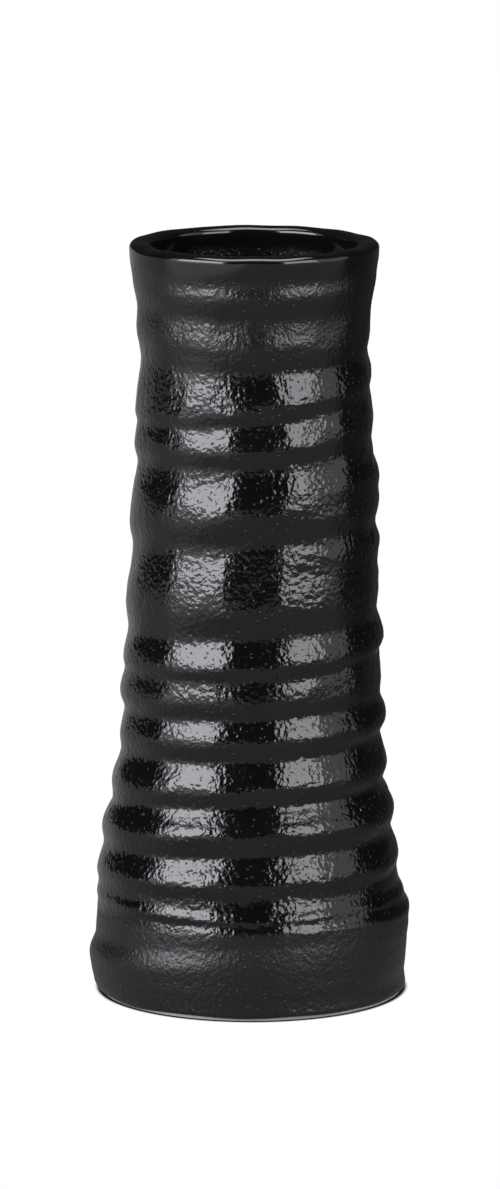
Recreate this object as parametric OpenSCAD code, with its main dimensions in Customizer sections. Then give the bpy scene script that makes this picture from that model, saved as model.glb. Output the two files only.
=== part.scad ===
// Tall thrown stoneware vase with spiral throwing rings, a rolled lip and a plain band at the foot.
// Millimetres. The origin is the centre of the foot on the table, +Z is up, the front faces -Y.
// It is put together as a potter does it: a turned foot ring, a floor disc, a plain base band, two
// thrown wall sections and a rolled lip, joined ridge into groove with slip, under two glaze coats.

/* [Overall] */
// Height from the table to the top of the lip
vase_h = 302; // [250:1:380]
// Diameter over the glaze at the foot
foot_d = 123.6; // [102:0.2:150]
// Diameter over the glaze at the plain band
band_d = 126.4; // [105:0.2:154]
// Diameter over the glaze at the waist, where the fast taper ends
waist_d = 105.8; // [98:0.2:127]
// Diameter over the glaze at the shoulder, half way up the slow taper
shoulder_d = 99.2; // [92:0.2:120]
// Diameter over the glaze at the neck
neck_d = 90.8; // [84:0.2:110]
// Diameter over the glaze at the lip
lip_d = 98.6; // [88:0.2:120]

/* [Heights] */
// Height of the plain band, up to its ledge
band_h = 34; // [26:0.5:42]
// Height of the waist
waist_z = 104; // [90:1:125]
// Height of the shoulder
shoulder_z = 176; // [150:1:190]
// Height of the seam between the two wall sections
seam_z = 150; // [125:1:180]
// How far below the top of the lip the neck is narrowest
neck_drop = 44; // [36:1:52]

/* [Walls] */
// Wall at the foot, with both glaze coats
wall_foot = 11; // [9:0.1:13.2]
// Wall just under the lip, with both glaze coats
wall_top = 7; // [5.8:0.1:8.6]
// Width of the rolled lip, with both glaze coats
wall_lip = 8.3; // [6.8:0.1:10]
// Thickness of the floor disc
floor_t = 11; // [8:0.1:14]
// Radius of the bend from the floor into the wall, inside
floor_bend = 9; // [5:0.5:12]
// Height of the rolled lip
lip_h = 14; // [12:0.5:18]
// Height of the round crown on the lip
crown_h = 6; // [4.8:0.1:7.2]

/* [Foot] */
// Height of the turned foot ring, which is also the hollow under the floor
foot_h = 3; // [2.5:0.1:3.8]
// Width of the face that the foot ring stands on
foot_w = 8.5; // [7:0.1:11]
// Bevel on the foot ring's outer edge
foot_bevel = 0.5; // [0.2:0.1:0.8]
// How far the floor disc rests on the foot ring
floor_seat = 3.5; // [2.5:0.1:4.2]
// How far the floor disc's upper edge reaches in under the wall
floor_lap = 2.3; // [1.5:0.1:3.5]
// Bare clay left under the edge of the glaze
bare_h = 1.2; // [0.8:0.1:2]

/* [Joints] */
// Height of the ridge on each clay joint
ridge_h = 2; // [1.5:0.1:2.6]
// Width of the ridge at its root
ridge_w = 2.4; // [1.8:0.1:3]
// Slip that fills the joint round each ridge and round the floor disc
slip_gap = 0.15; // [0.1:0.05:0.3]

/* [Glaze] */
// Thickness of each glaze coat
glaze_t = 0.6; // [0.4:0.05:0.8]

/* [Throwing rings] */
// How far the rings stand proud, as a share of the thrown depth
ring_strength = 1; // [0.5:0.05:1.2]

/* [Hidden] */
// One turn of the throwing spiral a row, from the foot upwards: the height of its crest above the
// band's ledge at the left, the front and the right, how far the crest stands proud of the taper
// there, how far up to the next crest its groove lies, and how deep that groove is at the three
// sides. Heights are for a band of DRAWN_BAND and a wall of DRAWN_WALL.
DRAWN_BAND = 34;
DRAWN_WALL = 259;
RINGS = [
    [[-30, -27, -26], [2.2, 0, -2.4], 0.5, [0, 0, 0]],
    [[-19.5, -13.5, -12.5], [3.1, 0.5, -1.9], 0.55, [1.4, 0.5, 0]],
    [[-3.5, 2, 0.5], [0.3, 0.8, -0.2], 0.68, [0.2, 1.2, 2.4]],
    [[16, 21, 22.5], [2.8, 0.7, -1.7], 0.52, [1.8, 2, 2.2]],
    [[34, 40, 41], [3.1, 1.2, -0.7], 0.58, [2, 2.2, 2.8]],
    [[52, 57.5, 60], [1.8, 0.6, -0.9], 0.6, [1.8, 2, 2.2]],
    [[71.5, 76, 78.5], [0.9, 0.8, 0.4], 0.56, [1.6, 1.6, 1.5]],
    [[88, 92, 93.5], [1.6, 0.5, -0.9], 0.7, [0.9, 1.2, 1.2]],
    [[101, 105, 110], [1.2, 1, 0.8], 0.5, [1.6, 1.8, 1.9]],
    [[124.5, 129.5, 132], [0.7, 0.6, -0.4], 0.67, [2.2, 2, 1.5]],
    [[157.5, 165.5, 166], [0.6, 0.8, 0.9], 0.73, [2.1, 1.9, 1.6]],
    [[188, 191.5, 198], [0.1, 0.5, 0.4], 0.64, [0.8, 1, 1]],
    [[201, 207, 216], [0.5, 0.8, 1], 0.65, [1, 1.3, 1.3]],
    [[233, 230, 231], [0.7, 0.8, 0.2], 0.6, [0.5, 1.7, 0.3]],
    [[249, 250.5, 252], [0.1, 0.7, 0.1], 0.5, [0, 0, 0]]
];
// Extra finger marks between the rings: height above the ledge at the left, the front and the
// right, how far each stands proud there, and its half width
MARKS = [
    [[149, 149, 149.5], [0, 0, 1.6], 9],
    [[175, 175, 176], [0, 0, 1.1], 7],
    [[256, 256.5, 257.5], [-0.2, -1.1, -0.3], 5.5]
];
// How far the glaze's lower edge stands proud at the left, the front and the right
EDGE_PROUD = [1.2, 0, -1.3];
// The three sides that a row of RINGS describes, as azimuths from the front towards the right
SIDE_STEP = 90;
TURN = 360;
// Height over which the last ring dies away below the crown
RING_END = 3;
// How much narrower a groove is than a crest
GROOVE_SHARPNESS = 0.8;
// Where the spiral starts at the back: its angle, its height and how far it stands proud
START_ANGLE = -180;
START_HEIGHT = -32;
START_PROUD = 0;
// The row of RINGS that is the band's ledge, how crisp its edge is, and the angles along the spiral
// over which it goes soft either way
LEDGE_TURN = 2;
LEDGE_CRISPNESS = 2.2;
LEDGE_SOFT_FROM = 120;
LEDGE_SOFT_TO = 240;

// Columns round the vase, and the height between rows of points on the thrown surface
COLUMNS = 28;
ROW_STEP = 4.3;
CROWN_STEPS = 8;
// How square the crown's shoulders are: 1 is round
CROWN_SHARPNESS = 0.6;
INSIDE_STEP = 14;
BEND_STEPS = 6;
$fn = 96;

// The plain band is fullest between these shares of its height
BAND_FULL_FROM = 0.35;
BAND_FULL_TO = 0.85;
BAND_FULL_IN = 0.25;
// How far the taper lies off the straight line half way between two named sizes
ABOVE_BAND_OFF = -0.5;
BELOW_NECK_OFF = 0.4;
BELOW_LIP_OFF = -0.8;
// Slip between the foot ring and the glaze round it
FOOT_SLIP = 0.3;
// How far a cut runs past the face that it opens
CUT_PAST = 1;

GLAZE_COLOUR = "#1b1c1f";
LINER_COLOUR = "#111214";
CLAY_COLOUR = "#9a8f87";
DARK_CLAY_COLOUR = "#7c716a";

foot_r = foot_d / 2;
band_r = band_d / 2;
lip_r = lip_d / 2;
neck_z = vase_h - neck_drop;
crown_z = vase_h - crown_h;
lip_z = vase_h - lip_h;
crown_half_w = wall_lip / 2;
floor_top = foot_h + floor_t;

// The taper: height and radius over the glaze at each named station
TAPER = [
    [-2 * band_h / 3, foot_r - (band_r - foot_r)],
    [0, foot_r],
    [band_h * BAND_FULL_FROM, band_r - BAND_FULL_IN],
    [band_h * BAND_FULL_TO, band_r - BAND_FULL_IN],
    [(band_h + waist_z) / 2, (band_r + waist_d / 2) / 2 + ABOVE_BAND_OFF],
    [waist_z, waist_d / 2],
    [shoulder_z, shoulder_d / 2],
    [(shoulder_z + neck_z) / 2, (shoulder_d + neck_d) / 4 + BELOW_NECK_OFF],
    [neck_z, neck_d / 2],
    [(neck_z + crown_z) / 2, (lip_r + neck_d / 2) / 2 + BELOW_LIP_OFF],
    [crown_z, lip_r],
    [crown_z + neck_drop / 2, lip_r]
];

// ---- Curves ----

// Smooth curve through points [x, y]: the value at x between points i and i + 1
function curve_slope(p, i) =
    (p[min(i + 1, len(p) - 1)].y - p[max(i - 1, 0)].y)
    / (p[min(i + 1, len(p) - 1)].x - p[max(i - 1, 0)].x);

function curve_between(p, i, x) =
    let (
        span = p[i + 1].x - p[i].x,
        t = (x - p[i].x) / span,
        keep = (1 + 2 * t) * (1 - t) * (1 - t),
        lean_in = t * (1 - t) * (1 - t) * span,
        lean_out = -t * t * (1 - t) * span
    )
    keep * p[i].y + (1 - keep) * p[i + 1].y
    + lean_in * curve_slope(p, i) + lean_out * curve_slope(p, i + 1);

function last_before(p, x, i = 0) =
    i >= len(p) - 2 || p[i + 1].x > x ? i : last_before(p, x, i + 1);

function curve(p, x) = curve_between(p, last_before(p, x), x);

function taper_r(z) = curve(TAPER, z);
function wall_at(z) = z < lip_z
    ? wall_foot + (wall_top - wall_foot) * z / lip_z
    : wall_top + (wall_lip - wall_top) * (z - lip_z) / (crown_z - lip_z);
function inside_r(z) = taper_r(z) - wall_at(z);
function mid_wall_r(z) = taper_r(z) - wall_at(z) / 2;

// ---- Throwing rings ----

// Where a height drawn above the ledge lies on this vase
function place(h) = h < 0
    ? band_h * (1 + h / DRAWN_BAND)
    : band_h + h * (crown_z - RING_END - band_h) / DRAWN_WALL;

// One property of the rings as a curve over the angle turned since the first turn's front
function spiral(property) = [
    for (turn = [0 : len(RINGS) - 1])
        for (side = [0 : 2])
            let (given = RINGS[turn][property])
            [TURN * turn + SIDE_STEP * (side - 1), is_list(given) ? given[side] : given]
];
CREST_HEIGHTS = concat([[START_ANGLE, START_HEIGHT]], spiral(0));
CREST_PROUD = concat([[START_ANGLE, START_PROUD]], spiral(1));
GROOVE_SHARES = spiral(2);
GROOVE_DEPTHS = spiral(3);
SPIRAL_START = CREST_HEIGHTS[0].x;
SPIRAL_END = CREST_HEIGHTS[len(CREST_HEIGHTS) - 1].x;

function on_turn(p, turn, azimuth) =
    curve(p, min(max(TURN * turn + azimuth, SPIRAL_START), SPIRAL_END));

function crest(turn, azimuth) =
    [place(on_turn(CREST_HEIGHTS, turn, azimuth)), on_turn(CREST_PROUD, turn, azimuth)];

function groove(turn, azimuth) =
    let (
        below = crest(turn, azimuth),
        above = crest(turn + 1, azimuth),
        share = on_turn(GROOVE_SHARES, turn, azimuth)
    )
    [
        below.x + share * (above.x - below.x),
        (below.y + above.y) / 2 - on_turn(GROOVE_DEPTHS, turn, azimuth)
    ];

// Heights and offsets of every crest and groove up one side of the vase
function ring_line(azimuth) = [
    [bare_h, around(EDGE_PROUD, azimuth)],
    for (turn = [0 : len(RINGS) - 2]) each [crest(turn, azimuth), groove(turn, azimuth)],
    crest(len(RINGS) - 1, azimuth),
    [crown_z, 0]
];

// How crisp step i of a line is, from 0 to 1: the steps up from each crest have odd numbers
function crispness(i, azimuth) =
    let (away = abs(TURN * ((i - 1) / 2 - LEDGE_TURN) + azimuth))
    i % 2 == 0 ? 0 : min(max((LEDGE_SOFT_TO - away) / (LEDGE_SOFT_TO - LEDGE_SOFT_FROM), 0), 1);

function ring_offset(line, azimuth, z) =
    let (
        i = last_before(line, z),
        t = min(max((z - line[i].x) / (line[i + 1].x - line[i].x), 0), 1),
        rise = line[i + 1].y - line[i].y,
        from_groove = rise > 0 ? t : 1 - t,
        crisp = pow(from_groove, LEDGE_CRISPNESS),
        soft = pow((1 - cos(180 * from_groove)) / 2, GROOVE_SHARPNESS),
        eased = soft + crispness(i, azimuth) * (crisp - soft)
    )
    min(line[i].y, line[i + 1].y) + abs(rise) * eased;

// A value given at the left, the front and the right, carried smoothly round the vase
function around(sides, azimuth) =
    let (middle = (sides[0] + sides[2]) / 2)
    middle + (sides[2] - middle) * sin(azimuth) + (sides[1] - middle) * pow(cos(azimuth), 2);

function mark_offset(mark, azimuth, z) =
    let (away = abs(z - place(around(mark[0], azimuth))) / mark[2])
    away >= 1 ? 0 : around(mark[1], azimuth) * (1 + cos(180 * away)) / 2;

function total(list, i = 0) = i >= len(list) ? 0 : list[i] + total(list, i + 1);

// Radius of the thrown surface, over the glaze
function thrown_r(column, z) =
    taper_r(z) + ring_strength * (
        ring_offset(RING_LINES[column], AZIMUTHS[column], z)
        + total([for (mark = MARKS) mark_offset(mark, AZIMUTHS[column], z)])
    );

AZIMUTHS = [for (column = [0 : COLUMNS - 1]) TURN * column / COLUMNS - TURN / 2];
RING_LINES = [for (azimuth = AZIMUTHS) ring_line(azimuth)];

function lowest_r(z) = min([for (column = [0 : COLUMNS - 1]) thrown_r(column, z)]);

// The foot ring stands inside the glaze all the way up, and the floor disc reaches from the foot
// ring to the wall
foot_clay_r = (min(lowest_r(bare_h), lowest_r(foot_h)) - glaze_t) * cos(180 / COLUMNS) - FOOT_SLIP;
foot_hole_r = foot_clay_r - foot_w;
floor_r = foot_hole_r + floor_seat;
floor_top_r = inside_r(floor_top) + glaze_t + floor_lap;
foot_ridge_r = (floor_r + slip_gap + min(foot_clay_r, lowest_r(foot_h + ridge_h))) / 2;

// ---- Rows of points: each row is [height, radius], or [height] where the rings set the radius ----

function steps(low, high, step) =
    let (count = max(1, round((high - low) / step)))
    [for (i = [0 : count]) low + (high - low) * i / count];

// Rows up the outside between two heights, lying inset under the surface
function thrown_rows(low, high, inset) = [
    for (z = steps(low, high, ROW_STEP))
        [for (column = [0 : COLUMNS - 1])
            on_ring(AZIMUTHS[column], thrown_r(column, z) - inset, z)]
];

// Rows over the crown and down inside the mouth
function lip_rows(inset) = [
    for (i = [1 : CROWN_STEPS])
        let (
            angle = 180 * i / CROWN_STEPS,
            across = sign(cos(angle)) * pow(abs(cos(angle)), CROWN_SHARPNESS),
            up = pow(abs(sin(angle)), CROWN_SHARPNESS)
        )
        round_row(
            lip_r - crown_half_w + (crown_half_w - inset) * across,
            crown_z + (crown_h - inset) * up
        ),
    round_row(inside_r((crown_z + lip_z) / 2) + inset, (crown_z + lip_z) / 2),
    round_row(inside_r(lip_z) + inset, lip_z)
];

function on_ring(azimuth, r, z) = [r * sin(azimuth), -r * cos(azimuth), z];
function round_row(r, z) = [for (azimuth = AZIMUTHS) on_ring(azimuth, r, z)];
function reversed(list) = [for (i = [len(list) - 1 : -1 : 0]) list[i]];
function flat(rows) = [for (row = rows) each row];

// Two triangles for each cell between one row and the next. Rows that run back over other rows are
// cut across the other way, so that the two surfaces match.
function band_faces(row, next, back = false) = [
    for (column = [0 : COLUMNS - 1])
        let (
            beside = (column + 1) % COLUMNS,
            near = [row * COLUMNS + column, row * COLUMNS + beside],
            far = [next * COLUMNS + column, next * COLUMNS + beside]
        )
        each back
            ? [[near[0], far[0], near[1]], [far[0], far[1], near[1]]]
            : [[near[0], far[0], far[1]], [near[0], far[1], near[1]]]
];

// A closed hoop whose section is the loop of rows, from the numbered row running back
module hoop(rows, back_from) {
    faces = [
        for (row = [0 : len(rows) - 1])
            each band_faces(row, (row + 1) % len(rows), row >= back_from)
    ];
    polyhedron(points = flat(rows), faces = faces);
}

// A solid drum with flat ends
module drum(rows) {
    last = len(rows) - 1;
    sides = [for (row = [0 : last - 1]) each band_faces(row, row + 1)];
    bottom = [for (column = [0 : COLUMNS - 1]) column];
    top = [for (column = [COLUMNS - 1 : -1 : 0]) last * COLUMNS + column];
    polyhedron(points = flat(rows), faces = concat(sides, [bottom, top]));
}

// ---- Shared round forms ----

// Section of the hollow, lying beyond the glaze surface by the given amount
function hollow_line(beyond) =
    let (
        low = floor_top + glaze_t - beyond,
        bend = floor_bend + beyond,
        bend_top = floor_top + glaze_t + floor_bend
    )
    [
        for (i = [0 : BEND_STEPS - 1])
            let (angle = 90 * i / BEND_STEPS)
            [inside_r(bend_top) + beyond - bend * (1 - sin(angle)), low + bend * (1 - cos(angle))],
        for (z = steps(bend_top, lip_z, INSIDE_STEP)) [inside_r(z) + beyond, z]
    ];

// The hollow inside the clay, where the liner lies
module clay_hollow() {
    line = hollow_line(glaze_t);
    top = line[len(line) - 1];
    rotate_extrude()
        polygon(concat([[0, line[0].y]], line, [[top.x, top.y + CUT_PAST], [0, top.y + CUT_PAST]]));
}

// The ridge on a clay joint, with slip round it when it is cut as a groove
module ridge(r, z, slip = 0) {
    root = ridge_w / 2 + slip;
    tip = ridge_w / 4 + slip;
    rotate_extrude()
        polygon([
            [r - root, z], [r + root, z],
            [r + tip, z + ridge_h + slip], [r - tip, z + ridge_h + slip]
        ]);
}

// The floor disc, with slip round it when it is cut as a rabbet
module floor_form(slip = 0) {
    translate([0, 0, foot_h]) cylinder(h = floor_t, r1 = floor_r + slip, r2 = floor_top_r + slip);
}

// A thrown piece of clay between two heights: the thrown outside, the hollow, a groove in its
// bottom face and a ridge on its top face
module thrown_piece(low, high, groove_r) {
    difference() {
        drum(thrown_rows(low, high, glaze_t));
        clay_hollow();
        ridge(groove_r, low, slip_gap);
    }
    ridge(mid_wall_r(high), high);
}

// ---- Pieces ----

module foot_ring() {
    color(CLAY_COLOUR) {
        rotate_extrude()
            polygon([
                [foot_hole_r, 0], [foot_clay_r - foot_bevel, 0], [foot_clay_r, foot_bevel],
                [foot_clay_r, foot_h], [foot_hole_r, foot_h]
            ]);
        ridge(foot_ridge_r, foot_h);
    }
}

module floor_disc() {
    color(DARK_CLAY_COLOUR) floor_form();
}

module base_band() {
    color(CLAY_COLOUR)
        difference() {
            thrown_piece(foot_h, band_h, foot_ridge_r);
            floor_form(slip_gap);
        }
}

module lower_wall() {
    color(DARK_CLAY_COLOUR) thrown_piece(band_h, seam_z, mid_wall_r(band_h));
}

module upper_wall() {
    color(CLAY_COLOUR) thrown_piece(seam_z, lip_z, mid_wall_r(seam_z));
}

module lip_roll() {
    lip_loop = concat(thrown_rows(lip_z, crown_z, glaze_t), lip_rows(glaze_t));
    color(DARK_CLAY_COLOUR)
        difference() {
            hoop(lip_loop, len(lip_loop));
            ridge(mid_wall_r(lip_z), lip_z, slip_gap);
        }
}

// The black coat: from its edge above the foot, up the outside, over the lip and into the mouth
module outer_glaze() {
    function coat_rows(inset) = concat(
        thrown_rows(bare_h, foot_h, inset),
        slice(thrown_rows(foot_h, band_h, inset)),
        slice(thrown_rows(band_h, seam_z, inset)),
        slice(thrown_rows(seam_z, lip_z, inset)),
        slice(thrown_rows(lip_z, crown_z, inset)),
        lip_rows(inset)
    );
    face = coat_rows(0);
    back = reversed(coat_rows(glaze_t));
    color(GLAZE_COLOUR) hoop(concat(face, back), len(face));
}

// Every row but the first, which the rows below it already hold
function slice(rows) = [for (i = [1 : len(rows) - 1]) rows[i]];

// The liner: the coat poured round the inside
module inner_glaze() {
    under = hollow_line(glaze_t);
    over = hollow_line(0);
    color(LINER_COLOUR)
        rotate_extrude()
            polygon(concat([[0, under[0].y]], under, reversed(over), [[0, over[0].y]]));
}

foot_ring();
floor_disc();
base_band();
lower_wall();
upper_wall();
lip_roll();
outer_glaze();
inner_glaze();
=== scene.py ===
import math

import bpy
import numpy as np
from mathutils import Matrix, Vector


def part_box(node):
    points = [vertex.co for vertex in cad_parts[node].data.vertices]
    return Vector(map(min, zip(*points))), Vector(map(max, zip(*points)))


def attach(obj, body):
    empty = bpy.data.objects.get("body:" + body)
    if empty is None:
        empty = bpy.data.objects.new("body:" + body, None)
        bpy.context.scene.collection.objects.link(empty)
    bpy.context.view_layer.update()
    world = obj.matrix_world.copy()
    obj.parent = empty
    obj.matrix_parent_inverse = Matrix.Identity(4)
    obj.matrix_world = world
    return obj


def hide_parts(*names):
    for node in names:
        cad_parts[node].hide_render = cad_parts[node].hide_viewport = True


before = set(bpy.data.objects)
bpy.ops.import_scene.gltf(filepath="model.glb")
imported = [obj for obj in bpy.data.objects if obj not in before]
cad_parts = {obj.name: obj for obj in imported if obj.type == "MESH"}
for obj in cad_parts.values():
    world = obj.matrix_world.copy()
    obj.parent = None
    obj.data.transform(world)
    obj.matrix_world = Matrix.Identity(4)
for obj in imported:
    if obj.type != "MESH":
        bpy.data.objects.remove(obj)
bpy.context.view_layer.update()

# Tall thrown stoneware vase: the looks round the packed clay pieces. The thrown surface, its pits
# and the glaze's edge are worked out in millimetres and made into meshes in metres.

MM = 0.001
BODY = "root"


def bottom(node):
    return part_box(node)[0].z / MM


def top(node):
    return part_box(node)[1].z / MM


# ---- Sizes ----

# Heights that the clay pieces set
VASE_TOP = top("outer_glaze")
GLAZE_EDGE = bottom("outer_glaze")
LEDGE = bottom("lower_wall")
LIP_FOOT = bottom("lip_roll")
FLOOR_TOP = top("floor_disc")
FOOT_TOP = bottom("floor_disc")

# Radii over the glaze, as in the part's source
FOOT_R = 61.8
BAND_R = 63.2
WAIST_R = 52.9
SHOULDER_R = 49.6
NECK_R = 45.4
LIP_R = 49.3

WAIST_Z = 104
SHOULDER_Z = 176
NECK_DROP = 44
CROWN_H = 6
CROWN_SHARPNESS = 0.6
WALL_FOOT = 11
WALL_TOP = 7
WALL_LIP = 8.3
FLOOR_BEND = 9
GLAZE_T = 0.6
NECK_Z = VASE_TOP - NECK_DROP
CROWN_Z = VASE_TOP - CROWN_H

# The plain band is fullest between these shares of its height
BAND_FULL_FROM, BAND_FULL_TO = 0.35, 0.85
BAND_FULL_IN = 0.25
# How far the taper lies off the straight line half way between two named sizes
ABOVE_BAND_OFF = -0.5
BELOW_NECK_OFF = 0.4
BELOW_LIP_OFF = -0.8

# The taper: height and radius at each named station, as in the part's source
TAPER = [
    (-2 * LEDGE / 3, 2 * FOOT_R - BAND_R),
    (0, FOOT_R),
    (LEDGE * BAND_FULL_FROM, BAND_R - BAND_FULL_IN),
    (LEDGE * BAND_FULL_TO, BAND_R - BAND_FULL_IN),
    ((LEDGE + WAIST_Z) / 2, (BAND_R + WAIST_R) / 2 + ABOVE_BAND_OFF),
    (WAIST_Z, WAIST_R),
    (SHOULDER_Z, SHOULDER_R),
    ((SHOULDER_Z + NECK_Z) / 2, (SHOULDER_R + NECK_R) / 2 + BELOW_NECK_OFF),
    (NECK_Z, NECK_R),
    ((NECK_Z + CROWN_Z) / 2, (LIP_R + NECK_R) / 2 + BELOW_LIP_OFF),
    (CROWN_Z, LIP_R),
    (CROWN_Z + NECK_DROP / 2, LIP_R),
]

# One turn of the throwing spiral a row, from the foot upwards, as in the part's source: the height
# of its crest above the ledge at the left, the front and the right, how far the crest stands proud
# there, how far up to the next crest its groove lies, and how deep that groove is at the three sides
DRAWN_BAND = 34
DRAWN_WALL = 259
RINGS = [
    ([-30, -27, -26], [2.2, 0, -2.4], 0.5, [0, 0, 0]),
    ([-19.5, -13.5, -12.5], [3.1, 0.5, -1.9], 0.55, [1.4, 0.5, 0]),
    ([-3.5, 2, 0.5], [0.3, 0.8, -0.2], 0.68, [0.2, 1.2, 2.4]),
    ([16, 21, 22.5], [2.8, 0.7, -1.7], 0.52, [1.8, 2, 2.2]),
    ([34, 40, 41], [3.1, 1.2, -0.7], 0.58, [2, 2.2, 2.8]),
    ([52, 57.5, 60], [1.8, 0.6, -0.9], 0.6, [1.8, 2, 2.2]),
    ([71.5, 76, 78.5], [0.9, 0.8, 0.4], 0.56, [1.6, 1.6, 1.5]),
    ([88, 92, 93.5], [1.6, 0.5, -0.9], 0.7, [0.9, 1.2, 1.2]),
    ([101, 105, 110], [1.2, 1, 0.8], 0.5, [1.6, 1.8, 1.9]),
    ([124.5, 129.5, 132], [0.7, 0.6, -0.4], 0.67, [2.2, 2, 1.5]),
    ([157.5, 165.5, 166], [0.6, 0.8, 0.9], 0.73, [2.1, 1.9, 1.6]),
    ([188, 191.5, 198], [0.1, 0.5, 0.4], 0.64, [0.8, 1, 1]),
    ([201, 207, 216], [0.5, 0.8, 1], 0.65, [1, 1.3, 1.3]),
    ([233, 230, 231], [0.7, 0.8, 0.2], 0.6, [0.5, 1.7, 0.3]),
    ([249, 250.5, 252], [0.1, 0.7, 0.1], 0.5, [0, 0, 0]),
]
SIDE_STEP = 90
TURN = 360
# Height over which the last ring dies away below the crown
RING_END = 3
# How much narrower a groove is than a crest
GROOVE_SHARPNESS = 0.8
# Where the spiral starts at the back
START_ANGLE, START_HEIGHT, START_PROUD = -180, -32, 0
# The turn that is the band's ledge, how crisp its edge is, and the angles along the spiral over
# which it goes soft either way
LEDGE_TURN = 2
LEDGE_CRISPNESS = 2.2
LEDGE_SOFT_FROM, LEDGE_SOFT_TO = 120, 240

# Finger marks between the rings: height above the ledge at the three sides, how far each stands
# proud there, and its half width. The first three are in the clay, the others only in the glaze.
MARKS = [
    ([149, 149, 149.5], [0, 0, 1.6], 9),
    ([175, 175, 176], [0, 0, 1.1], 7),
    ([256, 256.5, 257.5], [-0.2, -1.1, -0.3], 5.5),
    ([6.5, 7, 7], [0.5, 0.6, 0.5], 3.5),
    ([43, 44.5, 45.5], [-0.2, -0.35, -0.3], 2.2),
    ([228, 228.5, 229], [-0.1, -0.3, 0], 2),
]

# How far the glaze's lower edge stands proud at the three sides
EDGE_PROUD = [1.2, 0, -1.3]

# ---- Curves and surfaces, in millimetres and degrees ----


def curve(points, x):
    """Smooth curve through points (x, y), read at every x."""
    xs, ys = np.array(points, float).T
    last = len(xs) - 1
    i = np.clip(np.searchsorted(xs, x, side="right") - 1, 0, last - 1)

    def slope(k):
        after, before = np.minimum(k + 1, last), np.maximum(k - 1, 0)
        return (ys[after] - ys[before]) / (xs[after] - xs[before])

    span = xs[i + 1] - xs[i]
    t = (x - xs[i]) / span
    keep = (1 + 2 * t) * (1 - t) ** 2
    lean = t * (1 - t) ** 2 * slope(i) - t**2 * (1 - t) * slope(i + 1)
    return keep * ys[i] + (1 - keep) * ys[i + 1] + span * lean


def taper_r(z):
    return curve(TAPER, z)


def inside_r(z):
    wall = np.interp(z, (0, LIP_FOOT, CROWN_Z), (WALL_FOOT, WALL_TOP, WALL_LIP))
    return taper_r(z) - wall


def place(drawn):
    """Where a height drawn above the ledge lies on this vase."""
    drawn = np.asarray(drawn, float)
    above = LEDGE + drawn * (CROWN_Z - RING_END - LEDGE) / DRAWN_WALL
    return np.where(drawn < 0, LEDGE * (1 + drawn / DRAWN_BAND), above)


def spiral(values):
    """Three values a turn as a curve over the angle turned since the first turn's front."""
    return [
        (TURN * turn + SIDE_STEP * (side - 1), value)
        for turn, three in enumerate(values)
        for side, value in enumerate(three)
    ]


HEIGHTS, PROUD, SHARES, DEPTHS = zip(*RINGS)
CREST_HEIGHTS = [(START_ANGLE, START_HEIGHT)] + spiral(HEIGHTS)
CREST_PROUD = [(START_ANGLE, START_PROUD)] + spiral(PROUD)
GROOVE_SHARES = spiral([[share] * 3 for share in SHARES])
GROOVE_DEPTHS = spiral(DEPTHS)


def on_turn(points, turn, azimuth):
    return curve(points, np.clip(TURN * turn + azimuth, points[0][0], points[-1][0]))


def crest(turn, azimuth):
    height = place(on_turn(CREST_HEIGHTS, turn, azimuth))
    return height, on_turn(CREST_PROUD, turn, azimuth)


def groove(turn, azimuth):
    (low, low_proud), (high, high_proud) = crest(turn, azimuth), crest(turn + 1, azimuth)
    share = on_turn(GROOVE_SHARES, turn, azimuth)
    depth = on_turn(GROOVE_DEPTHS, turn, azimuth)
    return low + share * (high - low), (low_proud + high_proud) / 2 - depth


def ring_line(azimuth):
    """Heights and offsets of every crest and groove up one side."""
    line = [(GLAZE_EDGE, around(EDGE_PROUD, azimuth))]
    for turn in range(len(RINGS) - 1):
        line += [crest(turn, azimuth), groove(turn, azimuth)]
    line += [crest(len(RINGS) - 1, azimuth), (CROWN_Z, 0)]
    return np.array(line, float).T


def crispness(i, azimuth):
    """How crisp each step i of a line is, from 0 to 1: the steps up from a crest are odd."""
    away = abs(TURN * ((i - 1) / 2 - LEDGE_TURN) + azimuth)
    share = np.clip((LEDGE_SOFT_TO - away) / (LEDGE_SOFT_TO - LEDGE_SOFT_FROM), 0, 1)
    return np.where(i % 2 == 1, share, 0)


def ring_offset(line, azimuth, z):
    """How far the rings lift the surface at heights z, and how near each height is to a crest."""
    heights, offsets = line
    i = np.clip(np.searchsorted(heights, z, side="right") - 1, 0, len(heights) - 2)
    t = np.clip((z - heights[i]) / (heights[i + 1] - heights[i]), 0, 1)
    rise = offsets[i + 1] - offsets[i]
    from_groove = np.where(rise > 0, t, 1 - t)
    soft = ((1 - np.cos(np.pi * from_groove)) / 2) ** GROOVE_SHARPNESS
    eased = soft + crispness(i, azimuth) * (from_groove**LEDGE_CRISPNESS - soft)
    return np.minimum(offsets[i], offsets[i + 1]) + abs(rise) * eased, from_groove


def around(sides, azimuth):
    """A value given at the left, the front and the right, carried smoothly round the vase."""
    left, front, right = sides
    middle = (left + right) / 2
    a = np.radians(azimuth)
    return middle + (right - middle) * np.sin(a) + (front - middle) * np.cos(a) ** 2


def mark_offset(mark, azimuth, z):
    heights, proud, half_width = mark
    away = np.minimum(abs(z - place(around(heights, azimuth))) / half_width, 1)
    return around(proud, azimuth) * (1 + np.cos(np.pi * away)) / 2


WAVES = 10
WAVE_SHORTEST, WAVE_LONGEST = 0.7, 1.4


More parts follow.
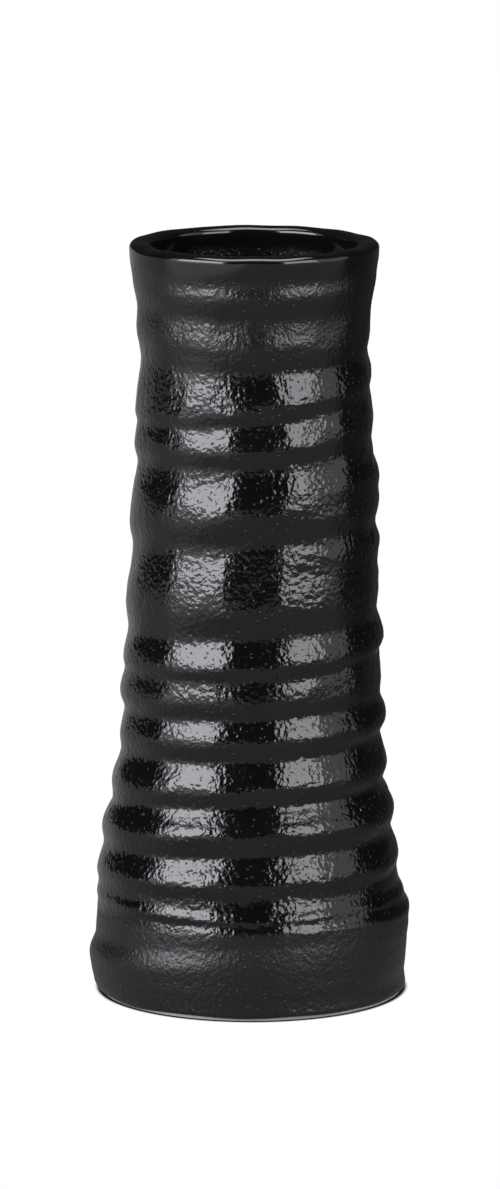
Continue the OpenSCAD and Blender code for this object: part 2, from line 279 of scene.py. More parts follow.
def unevenness(seed, pitch):
    """A smooth wandering of about -1 to 1 over the surface, with swells about pitch apart."""
    rng = np.random.default_rng(seed)
    waves = []
    for _ in range(WAVES):
        lean = rng.uniform(0, np.pi)
        length = pitch * rng.uniform(WAVE_SHORTEST, WAVE_LONGEST)
        turns = round(2 * np.pi * WAIST_R / length * np.cos(lean))
        waves.append((turns, 2 * np.pi / length * np.sin(lean), rng.uniform(0, 2 * np.pi)))

    def field(azimuth, z):
        a = np.radians(azimuth)
        return sum(np.sin(n * a + k * z + p) for n, k, p in waves) / math.sqrt(WAVES / 2)

    return field


# Small shapes of the glaze coat alone: how far each stands proud, in millimetres
sagging = unevenness(seed=3, pitch=26)
ripple_bend = unevenness(seed=5, pitch=60)
ripple_reach = unevenness(seed=8, pitch=45)
dapple = unevenness(seed=13, pitch=7)
edge_run = unevenness(seed=21, pitch=30)
SAG = 0.12
DAPPLE = 0.03
EDGE_RUN = 0.25
# The bead where the glaze gathers at its lower edge, and the height of its middle over the edge
BEAD = 0.18
BEAD_Z = 1.1
# Ripples between the rings: their rise in a degree, how much they bend, how strong they are from
# the left side to the right one, and how strong in patches
RIPPLE = 0.13
RIPPLE_PITCH = 6.5
RIPPLE_RISE = 0.03
RIPPLE_BEND = 2.2
RIPPLE_MIDDLE, RIPPLE_SWING, RIPPLE_LEAST = 0.45, 0.55, 0.1
RIPPLE_TURNED = 5
PATCH_MIDDLE, PATCH_SWING = 0.5, 0.6
# The fine shapes start below the ledge, end below the crown, and fade over a height at both ends
FINE_BELOW_LEDGE = 8
FINE_BELOW_CROWN = 12
FINE_FADE = 12


def ramp(value):
    return np.clip(value, 0, 1)


def fine_offset(azimuth, z):
    from_ledge = ramp((z - LEDGE + FINE_BELOW_LEDGE) / FINE_FADE)
    fade = from_ledge * ramp((CROWN_Z - FINE_BELOW_CROWN - z) / FINE_FADE)
    side = np.sin(np.radians(azimuth - RIPPLE_TURNED))
    on_right = np.clip(RIPPLE_MIDDLE + RIPPLE_SWING * side, RIPPLE_LEAST, 1)
    reach = on_right * ramp(PATCH_MIDDLE + PATCH_SWING * ripple_reach(azimuth, z))
    turns = (z - azimuth * RIPPLE_RISE) / RIPPLE_PITCH
    phase = 2 * np.pi * turns + RIPPLE_BEND * ripple_bend(azimuth, z)
    fine = RIPPLE * reach * np.sin(phase) + DAPPLE * dapple(azimuth, z)
    bead = BEAD * np.exp(-(((z - GLAZE_EDGE - BEAD_Z) / BEAD_Z) ** 2))
    return fade * (fine + SAG * sagging(azimuth, z)) + bead


def thrown_rows(heights, with_fine=True):
    """Radius, and nearness to a crest, at heights that have a row and a column for each point."""
    radius = np.empty(heights.shape)
    near_crest = np.empty(heights.shape)
    for column, azimuth in enumerate(azimuths(heights.shape[1])):
        z = heights[:, column]
        rings, near = ring_offset(ring_line(azimuth), azimuth, z)
        marks = sum(mark_offset(mark, azimuth, z) for mark in MARKS)
        fine = fine_offset(azimuth, z) if with_fine else 0
        radius[:, column] = taper_r(z) + rings + marks + fine
        near_crest[:, column] = near
    return radius, near_crest


# ---- Meshes ----


def azimuths(columns):
    return np.arange(columns) * TURN / columns - TURN / 2


def steps(start, end, step):
    """Even heights from start up or down to, but not including, end."""
    count = max(1, round(abs(end - start) / step))
    return start + (end - start) * np.arange(count) / count


def ring_points(radius, z):
    """Points round the vase, from radii and heights that have a row and a column for each."""
    a = np.radians(azimuths(radius.shape[1]))
    return np.stack([radius * np.sin(a), -radius * np.cos(a), z], -1)


def lathe_points(outline, columns):
    """Rows of points from an outline of (radius, height)."""
    r, z = (np.repeat(np.array(values)[:, None], columns, 1) for values in zip(*outline))
    return ring_points(r, z)


class Surface:
    """Points and faces in the making."""

    def __init__(self):
        self.points, self.faces, self.count = [], [], 0

    def add_points(self, points):
        """Adds points, and returns their numbers in the same rows and columns."""
        flat = points.reshape(-1, 3)
        numbers = self.count + np.arange(len(flat)).reshape(points.shape[:-1])
        self.points.append(flat)
        self.count += len(flat)
        return numbers

    def add_faces(self, *corners):
        self.faces += np.stack(corners, -1).reshape(-1, len(corners)).tolist()

    def bridge(self, row, next_row):
        """Four-cornered faces from a row, or rows, to the next, all the way round."""
        self.add_faces(row, np.roll(row, -1, -1), np.roll(next_row, -1, -1), next_row)

    def skin(self, rows):
        self.bridge(rows[:-1], rows[1:])

    def cap(self, row, height):
        """Closes a row with triangles to a point on the axis. The row goes before the point."""
        centre = self.add_points(np.array([[0, 0, height]], float))
        self.add_faces(row, np.roll(row, -1), np.broadcast_to(centre, row.shape))

    def thin_out(self, fine, coarse, fine_first):
        """Joins a row to one that has a third of its columns."""
        a, b, c, d = fine[0::3], fine[1::3], fine[2::3], np.roll(fine[0::3], -1)
        here, there = coarse, np.roll(coarse, -1)
        for corners in ((a, b, here), (b, c, there, here), (c, d, there)):
            self.add_faces(*(corners if fine_first else corners[::-1]))


def make_piece(name, surface, material, replaced, values=None):
    """A smooth piece on the vase's body. Values are named numbers for its points."""
    mesh = bpy.data.meshes.new(name)
    mesh.from_pydata((np.concatenate(surface.points) * MM).tolist(), [], surface.faces)
    mesh.validate()
    mesh.shade_smooth()
    for key, given in (values or {}).items():
        mesh.attributes.new(key, "FLOAT", "POINT").data.foreach_set("value", given)
    mesh.materials.append(material)
    piece = bpy.data.objects.new(name, mesh)
    bpy.context.scene.collection.objects.link(piece)
    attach(piece, BODY)
    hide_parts(replaced)
    return piece


# Pits that burst bubbles leave in the glaze, each in a block of four cells: their number, their
# widest and narrowest radius, the depth of a widest one, and how far their rims stand proud
PIT_SEED = 11
PITS = 2000
PIT_WIDEST = 0.72
PIT_NARROWEST = 0.38
PIT_DEPTH = 0.3
PIT_LIP = 0.02


def pit_blocks(rows, columns, rng):
    """Middle points of the blocks for the pits. No two blocks overlap."""
    taken, middles = set(), []
    for spot in rng.permutation(rows * columns):
        row, column = divmod(int(spot), columns)
        block = {(row + i, (column + j) % columns) for i in (-1, 0) for j in (-1, 0)}
        if 0 < row < rows - 1 and not block & taken:
            taken |= block
            middles.append((row, column))
        if len(middles) == PITS:
            break
    return tuple(np.array(middles).T)


def pitted_skin(surface, numbers, points):
    """Faces over rows of points, with a round pit in some places. Returns the pits' points."""
    rng = np.random.default_rng(PIT_SEED)
    columns = numbers.shape[1]
    row, column = pit_blocks(*numbers.shape, rng)
    low, high = numbers[:-1], numbers[1:]
    corners = np.stack([low, np.roll(low, -1, 1), np.roll(high, -1, 1), high], -1)
    whole = np.ones(low.shape, bool)
    for i in (-1, 0):
        for j in (-1, 0):
            whole[row + i, (column + j) % columns] = False
    surface.add_faces(*corners[whole].T)

    middle = numbers[row, column]
    corners_round = ((-1, -1), (-1, 0), (-1, 1), (0, 1), (1, 1), (1, 0), (1, -1), (0, -1))
    edge = np.stack([numbers[row + i, (column + j) % columns] for i, j in corners_round], -1)
    flat = points.reshape(-1, 3)
    centre = flat[middle]
    arm = flat[edge] - centre[:, None]
    size = PIT_NARROWEST + (PIT_WIDEST - PIT_NARROWEST) * rng.random((PITS, 1)) ** 2
    rim = centre[:, None] + arm * (size / np.linalg.norm(arm, axis=2))[..., None]
    outward = centre * (1, 1, 0)
    outward /= np.linalg.norm(outward, axis=1)[:, None]
    rims = surface.add_points(rim + outward[:, None] * PIT_LIP)
    sunk = surface.add_points(centre - outward * PIT_DEPTH * size / PIT_WIDEST)
    for k in range(len(corners_round)):
        after = (k + 1) % len(corners_round)
        surface.add_faces(edge[:, k], edge[:, after], rims[:, after], rims[:, k])
        surface.add_faces(rims[:, k], rims[:, after], sunk)
    return middle, rims, sunk


# ---- Glaze coat ----

# Columns and heights between the coat's points. Only a third of the columns go on under the glaze.
COLUMNS = 288
HIDDEN_COLUMNS = COLUMNS // 3
OUTER_STEP = 1.45
LEDGE_STEP = 0.8
LEDGE_FROM, LEDGE_TO = LEDGE - 6, LEDGE + 12
HIDDEN_STEP = 2.5
MOUTH_STEPS = 4
# The crown as it is seen: a straight side that leans out, and a low dome over it
CROWN_STEPS = 16
CROWN_STEP = 1.8
CROWN_LEAN = 0.15
CROWN_UNEVEN = 0.12
DOME_H = 2.4
DOME_SHARPNESS = 0.8
# How far the coat's outer face starts above its edge
EDGE_ROUND = 0.35


def squared(angle, sharpness):
    """Cosine and sine of an angle, for a half round that a sharpness below 1 makes squarer."""
    across, up = np.cos(angle), abs(np.sin(angle))
    return np.sign(across) * abs(across) ** sharpness, up**sharpness


def crown_back():
    """The coat's hidden side over the crown: radius and height, from just past the outside in."""
    half = WALL_LIP / 2
    angle = np.pi * np.arange(1, MOUTH_STEPS + 1) / MOUTH_STEPS
    across, up = squared(angle, CROWN_SHARPNESS)
    return list(zip(LIP_R - half + (half - GLAZE_T) * across, CROWN_Z + (CROWN_H - GLAZE_T) * up))


def crown_face():
    """The crown as it is seen: up a straight side, over a low dome and down into the mouth."""
    half = WALL_LIP / 2
    dome_foot = VASE_TOP - DOME_H
    angle = np.pi * np.arange(CROWN_STEPS + 1) / CROWN_STEPS
    across, up = squared(angle, DOME_SHARPNESS)
    dome = zip(LIP_R - half + (half + CROWN_LEAN) * across, dome_foot + DOME_H * up)
    side = steps(CROWN_Z, dome_foot, CROWN_STEP)[1:]
    lean = CROWN_LEAN * (side - CROWN_Z) / (dome_foot - CROWN_Z)
    return (
        list(zip(LIP_R + lean, side))
        + list(dome)
        + list(zip(LIP_R - WALL_LIP - lean[::-1], side[::-1]))
    )


def mouth_outline(inset):
    """Radius and height down inside the mouth, to where the liner starts."""
    z = CROWN_Z + (LIP_FOOT - CROWN_Z) * np.arange(1, MOUTH_STEPS + 1) / MOUTH_STEPS
    return list(zip(inside_r(z) + inset, z))


def wandering_edge(heights, run):
    """Moves heights up or down by run at the glaze's edge, and less and less up to LEDGE_FROM."""
    return heights + run * ramp(1 - heights / LEDGE_FROM)


def glaze_coat(material):
    surface = Surface()
    z = np.concatenate([
        steps(GLAZE_EDGE + EDGE_ROUND, LEDGE_FROM, OUTER_STEP),
        steps(LEDGE_FROM, LEDGE_TO, LEDGE_STEP),
        steps(LEDGE_TO, CROWN_Z, OUTER_STEP),
        [CROWN_Z],
    ])
    run = EDGE_RUN * edge_run(azimuths(COLUMNS), 0)
    heights = wandering_edge(np.repeat(z[:, None], COLUMNS, 1), run)
    radius, near_crest = thrown_rows(heights)
    points = ring_points(radius, heights)
    outer = surface.add_points(points)
    middle, rims, sunk = pitted_skin(surface, outer, points)

    over = lathe_points(crown_face() + mouth_outline(0), COLUMNS)
    high = ramp((over[..., 2] - CROWN_Z) / CROWN_H)
    over[..., 2] += CROWN_UNEVEN * high * sagging(azimuths(COLUMNS), VASE_TOP)
    crown = surface.add_points(over)
    surface.bridge(outer[-1], crown[0])
    surface.skin(crown)

    lip_back = crown_back() + mouth_outline(GLAZE_T)
    z = np.append(steps(CROWN_Z, GLAZE_EDGE, HIDDEN_STEP), GLAZE_EDGE)
    heights = wandering_edge(np.repeat(z[:, None], HIDDEN_COLUMNS, 1), run[::3])
    radius, _ = thrown_rows(heights, with_fine=False)
    under = np.concatenate([
        lathe_points(lip_back[::-1], HIDDEN_COLUMNS),
        ring_points(radius - GLAZE_T, heights),
    ])
    hidden = surface.add_points(under)
    surface.skin(hidden)
    surface.thin_out(crown[-1], hidden[0], fine_first=True)
    surface.thin_out(outer[0], hidden[-1], fine_first=False)
    near = np.ones(surface.count)
    near[outer] = near_crest
    near[rims] = near[middle][:, None]
    near[sunk] = 0
    values = {"near_crest": near}
    return make_piece("glaze_coat", surface, material, "outer_glaze", values)


# ---- Liner ----

LINER_COLUMNS = 144
LINER_STEP = 2.4
LINER_HIDDEN_STEP = 12
BEND_STEPS = 8
CENTRE_R = 3
# The finger's rings inside: half their depth, the height of a turn, how far above the floor they
# start, and the heights over which they fade at the floor and at the lip
INSIDE_RING = 0.35
INSIDE_PITCH = 9
INSIDE_START = 1
FLOOR_FADE = 12
LIP_FADE = 14
BEND_TOP = FLOOR_TOP + GLAZE_T + FLOOR_BEND


def liner_outline(beyond, step):
    """Radius and height from the lip down the inside and in over the floor."""
    low = FLOOR_TOP + GLAZE_T - beyond
    bend = FLOOR_BEND + beyond
    z = steps(LIP_FOOT, BEND_TOP, step)
    angle = np.pi / 2 * (1 - np.arange(BEND_STEPS + 1) / BEND_STEPS)
    bend_r = inside_r(BEND_TOP) + beyond - bend * (1 - np.sin(angle))
    floor_r = steps(bend_r[-1], CENTRE_R, step)[1:]
    return (
        list(zip(inside_r(z) + beyond, z))
        + list(zip(bend_r, low + bend * (1 - np.cos(angle))))
        + [(r, low) for r in floor_r]
        + [(CENTRE_R, low)]
    )


def liner_coat(material):
    surface = Surface()
    inside = lathe_points(liner_outline(0, LINER_STEP), LINER_COLUMNS)
    z = inside[..., 2]
    phase = 2 * np.pi * (z / INSIDE_PITCH - azimuths(LINER_COLUMNS) / TURN)
    fade = ramp((LIP_FOOT - z) / LIP_FADE) * ramp((z - FLOOR_TOP - INSIDE_START) / FLOOR_FADE)
    inside[..., :2] *= 1 - (INSIDE_RING * fade * (1 + np.cos(phase)) / NECK_R)[..., None]
    visible = surface.add_points(inside)
    surface.skin(visible)
    surface.cap(visible[-1], FLOOR_TOP + GLAZE_T)
    under = lathe_points(liner_outline(GLAZE_T, LINER_HIDDEN_STEP)[::-1], LINER_COLUMNS)
    hidden = surface.add_points(under)
    surface.cap(hidden[0][::-1], FLOOR_TOP)
    surface.skin(hidden)
    surface.bridge(hidden[-1], visible[0])
    return make_piece("liner_coat", surface, material, "inner_glaze")


# ---- Foot ----

FOOT_W = 8.5
FOOT_ROUND = 0.5
FOOT_OUT_R = 60.5
# The ring follows the glaze's edge, which lies further out at the left than at the right
FOOT_SHIFT = -1.1
FOOT_HOLE_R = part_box("foot_ring")[1].x / MM - FOOT_W
TOOL_LINE = 0.06
TOOL_PITCH = 0.9
ROUND_STEPS = 4
SIDE_ROW_STEP = 0.25
UNDER_ROW_STEP = 0.3


def foot_outline():
    """The turned ring's section: up its outside, in over its top, down the hollow, out below."""
    quarter = np.pi / 2 * np.arange(ROUND_STEPS + 1) / ROUND_STEPS
    sink = FOOT_ROUND * (1 - np.sin(quarter))
    rise = FOOT_ROUND * (1 - np.cos(quarter))
    up = np.append(steps(FOOT_ROUND, FOOT_TOP, SIDE_ROW_STEP)[1:], FOOT_TOP)
    across = steps(FOOT_HOLE_R + FOOT_ROUND, FOOT_OUT_R - FOOT_ROUND, UNDER_ROW_STEP)[1:]
    line = TOOL_LINE * np.cos(2 * np.pi * up / TOOL_PITCH)
    lines = TOOL_LINE * (1 - np.cos(2 * np.pi * across / TOOL_PITCH)) / 2
    return (
        list(zip(FOOT_OUT_R + line, up))
        + [(FOOT_HOLE_R, z) for z in up[::-1]]
        + list(zip(FOOT_HOLE_R + rise, sink))
        + list(zip(across, lines))
        + list(zip(FOOT_OUT_R - rise[::-1], sink[::-1]))
    )


def foot(material):
    surface = Surface()
    rows = surface.add_points(lathe_points(foot_outline(), COLUMNS) + (FOOT_SHIFT, 0, 0))
    surface.skin(rows)
    surface.bridge(rows[-1], rows[0])
    return make_piece("turned_foot", surface, material, "foot_ring")


# ---- Finishes ----


class Value:
    """A number that varies over a surface. Arithmetic on it adds Math nodes."""

    def __init__(self, finish, socket):
        self.finish, self.socket = finish, socket

    def __add__(self, other):
        return self.finish.math("ADD", self, other)

    def __sub__(self, other):
        return self.finish.math("SUBTRACT", self, other)

    def __rsub__(self, other):
        return self.finish.math("SUBTRACT", other, self)

    def __mul__(self, other):
        return self.finish.math("MULTIPLY", self, other)

    __radd__, __rmul__ = __add__, __mul__


# How softly cells are picked for specks, and the share of a speck's radius that is fully in it
CHOICE_EDGE = 0.02
SPECK_CORE = 0.35
# Noise cells in a lump of noise
LUMP_CELLS = 0.5


class Finish:
    """A material in the making, with the shader's uniform values."""

    def __init__(self, name, uniform):
        self.material = bpy.data.materials.new(name)
        self.material.use_nodes = True
        self.tree = self.material.node_tree
        self.shader = self.tree.nodes["Principled BSDF"]
        for socket, value in uniform.items():
            self.set(socket, value)
        self.place = self.node("ShaderNodeTexCoord", output="Object")

    def set(self, socket, value, node=None):
        """Gives a socket of the shader, or of a node, its value or its link."""
        socket = (node or self.shader).inputs[socket]
        if isinstance(value, Value):
            self.tree.links.new(value.socket, socket)
        else:
            socket.default_value = value

    def node(self, kind, settings=None, values=None, output=0):
        """Adds a node of that type, its settings first, and returns one of its outputs."""
        node = self.tree.nodes.new(kind)
        for name, setting in (settings or {}).items():
            setattr(node, name, setting)
        for socket, value in (values or {}).items():
            self.set(socket, value, node)
        return Value(self, node.outputs[output])

    def math(self, operation, first, second):
        return self.node("ShaderNodeMath", {"operation": operation}, {0: first, 1: second})

    def noise(self, size, detail=0.0, stretch=(1, 1, 1)):
        """Cloudy noise from 0 to 1, with lumps of about that size in millimetres."""
        place = self.node(
            "ShaderNodeVectorMath", {"operation": "MULTIPLY"}, {0: self.place, 1: stretch}
        )
        values = {"Vector": place, "Scale": LUMP_CELLS / (size * MM), "Detail": detail}
        return self.node("ShaderNodeTexNoise", values=values)

    def between(self, value, low, high, start=0.0, end=1.0):
        """Eases from start to end as value goes from low to high."""
        values = {"Value": value, "From Min": low, "From Max": high, "To Min": start, "To Max": end}
        settings = {"interpolation_type": "SMOOTHSTEP"}
        return self.node("ShaderNodeMapRange", settings, values)

    def blend(self, share, first, second):
        """One colour going over into another. Sockets 0, 6 and 7 are Mix's factor and colours."""
        values = {0: share}
        for socket, colour in ((6, first), (7, second)):
            values[socket] = colour if isinstance(colour, Value) else (*colour, 1)
        return self.node("ShaderNodeMix", {"data_type": "RGBA"}, values, output=2)

    def relief(self, height):
        """Bumps of a height in millimetres."""
        values = {"Height": height * MM, "Distance": 1.0}
        self.set("Normal", self.node("ShaderNodeBump", values=values))

    def specks(self, spacing, radius, share, channel=0):
        """Soft round specks in a share of the cells: 1 in the middle of each, 0 beyond its radius.
        Millimetres. Another channel of the cells' colours picks other cells."""
        cells = self.tree.nodes.new("ShaderNodeTexVoronoi")
        self.set("Vector", self.place, cells)
        self.set("Scale", 1 / (spacing * MM), cells)
        distance, colour = (Value(self, cells.outputs[k]) for k in ("Distance", "Color"))
        split = self.node("ShaderNodeSeparateColor", values={"Color": colour}, output=channel)
        chosen = self.between(split, 1 - share - CHOICE_EDGE, 1 - share + CHOICE_EDGE)
        reach = radius / spacing
        return self.between(distance, reach, reach * SPECK_CORE) * chosen


GLAZE_IOR = 1.5
# Heights from which, and to which, the glaze grows smooth at the lip, and satin towards the neck
# and the band
LIP_SMOOTH = (VASE_TOP - 11, VASE_TOP - 6)
NECK_SATIN = (NECK_Z - 2, NECK_Z + 10)
BAND_SATIN = (LEDGE + 4, LEDGE - 2)
# Heights of the black glaze's bumps, in millimetres, and the share that the smooth lip loses
PEEL_H = 0.26
PINHOLE_H = 0.28
GRAIN_H = 0.035
SATIN_GRAIN_H = 0.05
LIP_LOSS = 0.93
# Its roughness, and what the hollows, the pools of thick glaze, the pinholes and the satin add
GLOSS = 0.08
HOLLOW_ROUGH = 0.04
POOL_ROUGH = 0.05
PINHOLE_ROUGH = 0.2
NECK_ROUGH = 0.16
BAND_ROUGH = 0.26
# Its colour where it is thin and thick, how much a hollow thickens it, and the range between them
THIN_BLACK, THICK_BLACK = (0.003, 0.0028, 0.0028), (0.0015, 0.0015, 0.0018)
HOLLOW_THICKENS = 0.3
THIN_UP_TO, THICK_FROM = 0.35, 0.85


def black_glaze():
    finish = Finish("black_glaze", {"IOR": GLAZE_IOR, "Specular IOR Level": 0.5})
    near_crest = finish.node(
        "ShaderNodeAttribute", {"attribute_name": "near_crest"}, output="Fac"
    )
    height = finish.node("ShaderNodeSeparateXYZ", values={"Vector": finish.place}, output="Z")
    lip, neck, band = (
        finish.between(height, start * MM, end * MM)
        for start, end in (LIP_SMOOTH, NECK_SATIN, BAND_SATIN)
    )
    neck = neck * (1 - lip)
    peel = finish.noise(size=0.9, detail=0.6)
    grain = finish.noise(size=0.45)
    pool = finish.noise(size=14, detail=2)
    pinholes = finish.specks(spacing=2.6, radius=0.5, share=0.6)
    fine = grain * (GRAIN_H + (neck + band) * SATIN_GRAIN_H)
    finish.relief((peel * PEEL_H + fine - pinholes * PINHOLE_H) * (1 - lip * LIP_LOSS))
    hollow = 1 - near_crest
    uneven = hollow * HOLLOW_ROUGH + pool * POOL_ROUGH + pinholes * PINHOLE_ROUGH
    satin = neck * NECK_ROUGH + band * BAND_ROUGH
    finish.set("Roughness", GLOSS + uneven + satin)
    shade = finish.between(pool + hollow * HOLLOW_THICKENS, THIN_UP_TO, THICK_FROM)
    finish.set("Base Color", finish.blend(shade, THIN_BLACK, THICK_BLACK))
    return finish.material


# The liner's bumps, roughness and colours
LINER_PEEL_H, LINER_PINHOLE_H = 0.08, 0.12
LINER_GLOSS, LINER_POOL_ROUGH = 0.14, 0.08
LINER_THIN, LINER_THICK = (0.002, 0.0018, 0.0018), (0.001, 0.001, 0.0012)


def liner_glaze():
    finish = Finish("liner_glaze", {"IOR": GLAZE_IOR, "Specular IOR Level": 0.3})
    peel = finish.noise(size=2.4, detail=1)
    pool = finish.noise(size=18, detail=2)
    pinholes = finish.specks(spacing=5, radius=0.5, share=0.5)
    finish.relief(peel * LINER_PEEL_H - pinholes * LINER_PINHOLE_H)
    finish.set("Roughness", LINER_GLOSS + pool * LINER_POOL_ROUGH)
    finish.set("Base Color", finish.blend(pool, LINER_THIN, LINER_THICK))
    return finish.material


# Bare clay: its light and dark colours, the iron specks' colour and strength, its roughness and
# what the clouds add, and the heights of its grain and grit
BARE_LIGHT, BARE_DARK = (0.44, 0.38, 0.345), (0.32, 0.275, 0.25)
IRON, IRON_STRENGTH = (0.07, 0.045, 0.035), 0.85
BARE_ROUGH, BARE_CLOUD_ROUGH = 0.78, 0.15
BARE_GRAIN_H, GRIT_H = 0.05, 0.05


def bare_clay():
    finish = Finish("bare_clay", {"Specular IOR Level": 0.25})
    cloud = finish.noise(size=12, detail=3)
    grit = finish.specks(spacing=1.7, radius=0.35, share=0.4)
    iron = finish.specks(spacing=3.6, radius=0.42, share=0.35, channel=1)
    body = finish.blend(cloud, BARE_LIGHT, BARE_DARK)
    finish.set("Base Color", finish.blend(iron * IRON_STRENGTH, body, IRON))
    finish.set("Roughness", BARE_ROUGH + cloud * BARE_CLOUD_ROUGH)
    finish.relief(finish.noise(size=0.6, detail=2) * BARE_GRAIN_H + grit * GRIT_H)
    return finish.material


# The clay under the glaze: the same, with streaks in place of iron and grit
BODY_LIGHT, BODY_DARK = (0.36, 0.31, 0.28), (0.26, 0.22, 0.2)
STREAK, STREAK_STRENGTH = (0.2, 0.165, 0.15), 0.4
BODY_ROUGH, BODY_CLOUD_ROUGH = 0.85, 0.1
BODY_GRAIN_H, STREAK_H = 0.06, 0.1


def clay_body():
    finish = Finish("clay_body", {"Specular IOR Level": 0.2})
    cloud = finish.noise(size=16, detail=3)
    streak = finish.noise(size=6, detail=2, stretch=(0.2, 0.2, 2))
    body = finish.blend(cloud, BODY_LIGHT, BODY_DARK)
    finish.set("Base Color", finish.blend(streak * STREAK_STRENGTH, body, STREAK))
    finish.set("Roughness", BODY_ROUGH + cloud * BODY_CLOUD_ROUGH)
    finish.relief(finish.noise(size=0.7, detail=2) * BODY_GRAIN_H + streak * STREAK_H)
    return finish.material


# ---- Studio ----

# Where the camera stands, in metres, its tilt in degrees and its lens in millimetres
CAMERA_BACK = 2.951
CAMERA_UP = 0.714
CAMERA_SIDE = -0.00167
CAMERA_TILT = 10.634
FOCAL_LENGTH = 228.2
FARTHEST = 50
# The floor, in metres, and its glow as the glaze reflects it. It turns darker as the places across
# and back both go over their SHADOW limits, and lighter as both go over their LIT limits: a painted
# shadow and a painted pool of light.
FLOOR_R = 14
FLOOR_SIDES = 64
FLOOR_GLOW = 0.38
FLOOR_SHADOW = 0.06
FLOOR_LIT = 0.95
SHADOW_ACROSS, SHADOW_BACK = (-0.2, 0.2), (-0.2, 0.2)
LIT_ACROSS, LIT_BACK = (-0.15, -0.6), (0.1, -0.3)
# The painted contact shadow on the floor round the foot, and the distances over which it ends
CONTACT_SHADOW = 0.01
CONTACT_END = (0.0614, 0.0632)
# The room's glow as the glaze reflects it
ROOM_GLOW = (0.026, 0.027, 0.03)
WHITE = (1, 1, 1)
COOL_WHITE = (0.93, 0.95, 1)
MILD_WHITE = (0.95, 0.96, 1)
# Upright light panels: azimuth from the front and half angle in degrees, distance, lowest and
# highest point in metres, radiance and colour
SOFTBOXES = [
    ("left_softbox", -55, 28, 3, 0.02, 3.1, 1.7, COOL_WHITE),
    ("left_lamp", -52, 22, 3.2, 0.5, 2.3, 8.2, COOL_WHITE),
    ("right_softbox", 60, 34, 3, 0.02, 3.1, 1.1, MILD_WHITE),
    ("right_lamp", 44, 16, 3.2, 0.3, 2, 5, MILD_WHITE),
]
# The square panel overhead: height and side in metres
TOP_UP = 2.6
TOP_SIDE = 2
TOP_RADIANCE = 6


def camera():
    data = bpy.data.cameras.new("camera")
    data.lens = FOCAL_LENGTH
    data.clip_end = FARTHEST
    eye = bpy.data.objects.new("camera", data)
    eye.location = (CAMERA_SIDE, -CAMERA_BACK, CAMERA_UP)
    eye.rotation_euler = (math.radians(90 - CAMERA_TILT), 0, 0)
    bpy.context.scene.collection.objects.link(eye)
    bpy.context.scene.camera = eye


def panel(name, width, height, radiance, place, turn=(0, 0, 0), colour=WHITE):
    """A light panel of that radiance all over its face."""
    data = bpy.data.lights.new(name, "AREA")
    data.shape = "RECTANGLE"
    data.size, data.size_y = width, height
    data.energy = radiance * math.pi * width * height
    data.color = colour
    lamp = bpy.data.objects.new(name, data)
    lamp.location, lamp.rotation_euler = place, turn
    lamp.visible_camera = False
    bpy.context.scene.collection.objects.link(lamp)


def softbox(name, azimuth, half_angle, distance, low, high, radiance, colour):
    """An upright panel that faces the vase."""
    a = math.radians(azimuth)
    width = 2 * distance * math.tan(math.radians(half_angle))
    place = (distance * math.sin(a), -distance * math.cos(a), (low + high) / 2)
    panel(name, width, high - low, radiance, place, (math.pi / 2, 0, a), colour)


def grey(level):
    return (level, level, level)


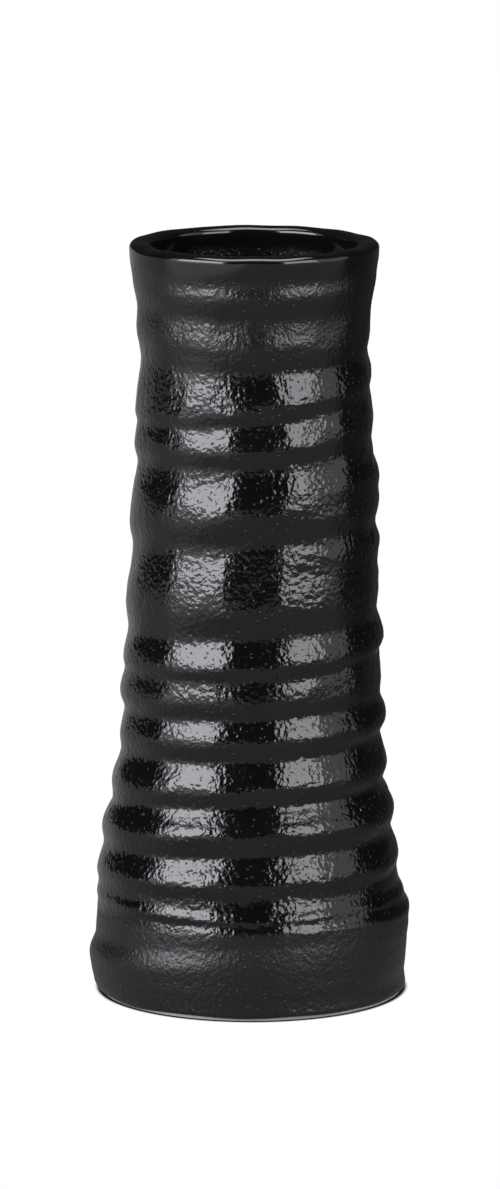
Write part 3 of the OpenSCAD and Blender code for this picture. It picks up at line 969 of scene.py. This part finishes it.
def pale_floor():
    """A white floor as it is seen, which the glaze reflects as grey with a painted shadow at the
    back right and a painted pool of light at the front left. A painted contact shadow on it runs
    round the foot."""
    angles = [2 * math.pi * k / FLOOR_SIDES for k in range(FLOOR_SIDES)]
    rim = [(FLOOR_R * math.cos(a), FLOOR_R * math.sin(a), 0) for a in angles]
    mesh = bpy.data.meshes.new("floor")
    mesh.from_pydata(rim, [], [list(range(FLOOR_SIDES))])
    uniform = {"Base Color": (0, 0, 0, 1), "Specular IOR Level": 0.0, "Emission Strength": 1.0}
    finish = Finish("floor", uniform)
    across, back = (
        finish.node("ShaderNodeSeparateXYZ", values={"Vector": finish.place}, output=k)
        for k in "XY"
    )
    # Painted shadow at the back right and painted pool of light at the front left, shown only in the
    # glaze's reflections
    shadow = finish.between(across, *SHADOW_ACROSS) * finish.between(back, *SHADOW_BACK)
    lit = finish.between(across, *LIT_ACROSS) * finish.between(back, *LIT_BACK)
    glow = finish.blend(shadow, grey(FLOOR_GLOW), grey(FLOOR_SHADOW))
    glow = finish.blend(lit, glow, grey(FLOOR_LIT))
    from_foot = finish.node(
        "ShaderNodeVectorMath", {"operation": "DISTANCE"},
        {0: finish.place, 1: (FOOT_SHIFT * MM, 0, 0)}, output="Value",
    )
    # Painted contact shadow: the floor's white turns dark in a thin ring round the foot
    clear = finish.between(from_foot, *CONTACT_END)
    white = finish.blend(clear, grey(CONTACT_SHADOW), WHITE)
    seen = finish.node("ShaderNodeLightPath", output="Is Camera Ray")
    finish.set("Emission Color", finish.blend(seen, glow, white))
    mesh.materials.append(finish.material)
    floor = bpy.data.objects.new("floor", mesh)
    bpy.context.scene.collection.objects.link(floor)


def dim_room():
    """A dim room that the glaze reflects, and a white one behind the vase."""
    world = bpy.data.worlds.new("room")
    world.use_nodes = True
    tree = world.node_tree
    tree.nodes.clear()
    dim, white = (tree.nodes.new("ShaderNodeBackground") for _ in range(2))
    dim.inputs["Color"].default_value = (*ROOM_GLOW, 1)
    white.inputs["Color"].default_value = (*WHITE, 1)
    seen = tree.nodes.new("ShaderNodeLightPath").outputs["Is Camera Ray"]
    mix = tree.nodes.new("ShaderNodeMixShader")
    out = tree.nodes.new("ShaderNodeOutputWorld")
    for start, end in (
        (seen, mix.inputs[0]), (dim.outputs[0], mix.inputs[1]),
        (white.outputs[0], mix.inputs[2]), (mix.outputs[0], out.inputs["Surface"]),
    ):
        tree.links.new(start, end)
    bpy.context.scene.world = world


camera()
bpy.context.scene.view_settings.view_transform = "Standard"
pale_floor()
dim_room()
for given in SOFTBOXES:
    softbox(*given)
panel("top_softbox", TOP_SIDE, TOP_SIDE, TOP_RADIANCE, (0, 0, TOP_UP))

glaze_coat(black_glaze())
liner_coat(liner_glaze())
bare = bare_clay()
foot(bare)
body = clay_body()
for node, finish in (
    ("floor_disc", bare), ("base_band", body), ("lower_wall", body),
    ("upper_wall", body), ("lip_roll", body),
):
    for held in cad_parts[node].material_slots:
        held.material = finish

bpy.context.view_layer.update()
